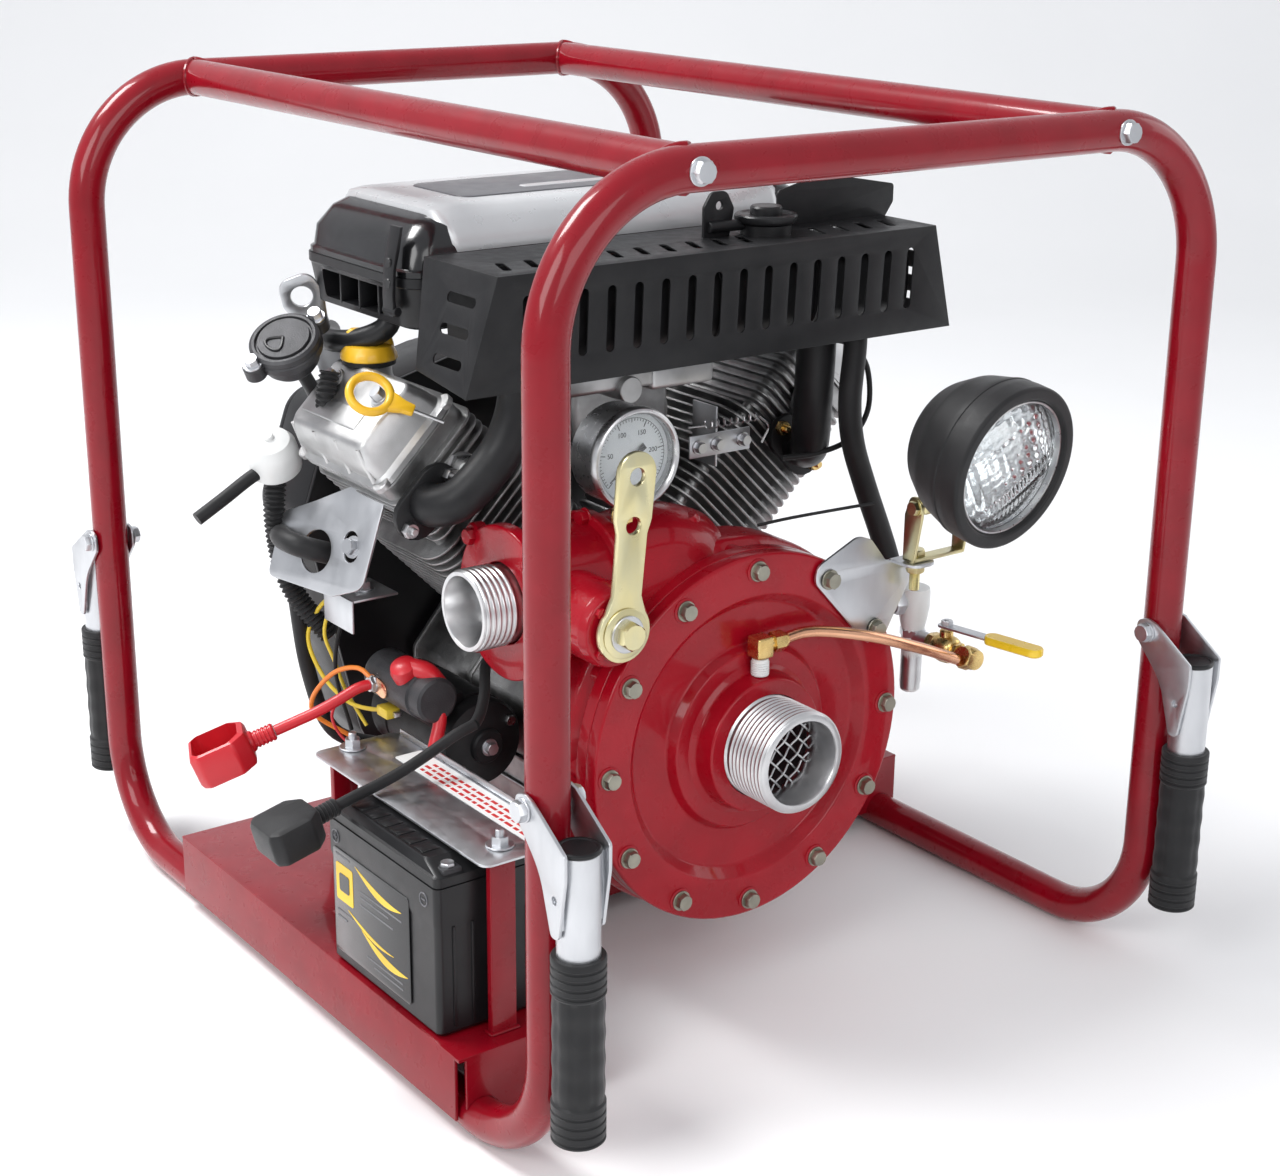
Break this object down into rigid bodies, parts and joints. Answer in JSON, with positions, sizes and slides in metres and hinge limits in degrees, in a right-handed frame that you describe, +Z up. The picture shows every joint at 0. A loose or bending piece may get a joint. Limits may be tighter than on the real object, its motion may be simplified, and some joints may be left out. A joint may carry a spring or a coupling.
{
  "type": "portable fire pump",
  "caption": "Portable fire pump: V-twin engine and centrifugal pump in a red tubular carry frame with fold-down handles, work lamp and battery.",
  "frame": {"origin": "bottom centre of the tubular carry frame, on the ground under its skids", "axes": "+X to the right along the front, -Y towards the suction side, -X towards the discharge side, +Z up"},
  "size_m": [0.6656, 0.7666, 0.6703],
  "materials": {
    "frame_red": "glossy dark red powder coat",
    "pump_red": "glossy red enamel over castings",
    "cast_aluminium": "as cast, slightly rough",
    "machined_aluminium": "turned, fine tool marks",
    "black_steel": "matte black heat paint",
    "black_plastic": "moulded, satin",
    "black_rubber": "matte",
    "zinc_plate": "bright zinc plate",
    "yellow_zinc": "yellow zinc plate",
    "brass": "polished",
    "copper": "bright bent copper tube",
    "steel": "ground or stamped steel",
    "yellow_plastic": "yellow moulded plastic or vinyl",
    "grey_plastic": "silver grey moulded plastic",
    "clear_glass": "clear",
    "filter_paper": "pleated paper",
    "red_rubber": "soft PVC"
  },
  "bodies": {
    "frame": {"air_cleaner_base": "black_plastic", "air_cleaner_cover": "grey_plastic", "air_filter_element": "filter_paper", "base_tray": "frame_red", "battery": "black_plastic", "battery_clamp": "zinc_plate", "black_boot": "black_rubber", "black_lead": "black_rubber", "blower_housing": "black_plastic", "carburetor": "cast_aluminium", "crankcase": "cast_aluminium", "cylinder_left": "cast_aluminium", "cylinder_right": "cast_aluminium", "discharge_adapter": "machined_aluminium", "discharge_valve_body": "pump_red", "exhaust_pipe_left": "black_steel", "exhaust_pipe_right": "black_steel", "front_frame_tube": "frame_red", "fuel_pump": "black_plastic", "gauge_case": "steel", "gauge_lens": "clear_glass", "heat_guard": "black_steel", "lamp_bracket": "zinc_plate", "muffler": "black_steel", "primer_tube": "copper", "primer_valve_body": "brass", "pump_cover": "pump_red", "pump_volute": "pump_red", "rear_frame_tube": "frame_red", "red_boot": "red_rubber", "red_lead": "red_rubber", "starter_motor": "black_steel", "suction_adapter": "machined_aluminium", "suction_strainer": "steel", "top_rail_left": "frame_red", "top_rail_right": "frame_red", "valve_cover_left": "cast_aluminium", "valve_cover_right": "cast_aluminium"},
    "rotor": {"impeller": "cast_aluminium", "crankshaft": "steel", "flywheel_fan": "cast_aluminium"},
    "handle_front_left_body": {"handle_front_left": "zinc_plate", "grip_front_left": "black_rubber"},
    "handle_front_right_body": {"handle_front_right": "zinc_plate", "grip_front_right": "black_rubber"},
    "handle_rear_left_body": {"handle_rear_left": "zinc_plate", "grip_rear_left": "black_rubber"},
    "handle_rear_right_body": {"handle_rear_right": "zinc_plate", "grip_rear_right": "black_rubber"},
    "discharge_valve": {"discharge_ball": "steel", "discharge_lever": "yellow_zinc"},
    "needle": {"gauge_needle": "black_steel"},
    "primer_lever": {"primer_valve_lever": "yellow_plastic"},
    "lamp_arm": {"lamp_yoke": "yellow_zinc"},
    "lamp_head": {"lamp_housing": "black_rubber", "lamp_lens": "clear_glass"},
    "filler_cap": {"oil_cap": "yellow_plastic"},
    "dip": {"dipstick": "yellow_plastic"},
    "latch": {"air_cleaner_latch": "black_plastic"}
  },
  "joints": [
    {"name": "rotor_spin", "type": "hinge", "parent": "frame", "child": "rotor", "pos_m": [0, 0, 0.2034], "axis": [0, 1, 0], "continuous": true},
    {"name": "handle_front_left_fold", "type": "hinge", "parent": "frame", "child": "handle_front_left_body", "pos_m": [-0.282, -0.332, 0.277], "axis": [-1, 0, 0], "range_deg": [0, 90]},
    {"name": "handle_front_right_fold", "type": "hinge", "parent": "frame", "child": "handle_front_right_body", "pos_m": [0.282, -0.332, 0.277], "axis": [-1, 0, 0], "range_deg": [0, 90]},
    {"name": "handle_rear_left_fold", "type": "hinge", "parent": "frame", "child": "handle_rear_left_body", "pos_m": [-0.282, 0.332, 0.277], "axis": [1, 0, 0], "range_deg": [0, 90]},
    {"name": "handle_rear_right_fold", "type": "hinge", "parent": "frame", "child": "handle_rear_right_body", "pos_m": [0.282, 0.332, 0.277], "axis": [1, 0, 0], "range_deg": [0, 90]},
    {"name": "discharge_lever_turn", "type": "hinge", "parent": "frame", "child": "discharge_valve", "pos_m": [-0.14, -0.115, 0.3245], "axis": [0, -1, 0], "range_deg": [0, 90]},
    {"name": "needle_sweep", "type": "hinge", "parent": "frame", "child": "needle", "pos_m": [-0.088, -0.1515, 0.427], "axis": [0, 1, 0], "range_deg": [0, 260]},
    {"name": "primer_lever_turn", "type": "hinge", "parent": "frame", "child": "primer_lever", "pos_m": [0.208, -0.177, 0.2465], "axis": [0, 0, 1], "range_deg": [0, 80]},
    {"name": "lamp_swivel", "type": "hinge", "parent": "frame", "child": "lamp_arm", "pos_m": [0.146, -0.201, 0.333], "axis": [0, 0, 1], "range_deg": [-60, 60]},
    {"name": "lamp_tilt", "type": "hinge", "parent": "lamp_arm", "child": "lamp_head", "pos_m": [0.16, -0.213, 0.368], "axis": [1, 0, 0], "range_deg": [-20, 30]},
    {"name": "oil_cap_turn", "type": "hinge", "parent": "frame", "child": "filler_cap", "pos_m": [-0.19, 0.04, 0.472], "axis": [0, 0, 1], "range_deg": [0, 90]},
    {"name": "dipstick_pull", "type": "slide", "parent": "frame", "child": "dip", "axis": [-0.7493, 0.5557, 0.3603], "range_m": [0, 0.04]},
    {"name": "latch_open", "type": "hinge", "parent": "frame", "child": "latch", "pos_m": [-0.2095, -0.03, 0.525], "axis": [0, -1, 0], "range_deg": [0, 90]}
  ]
}
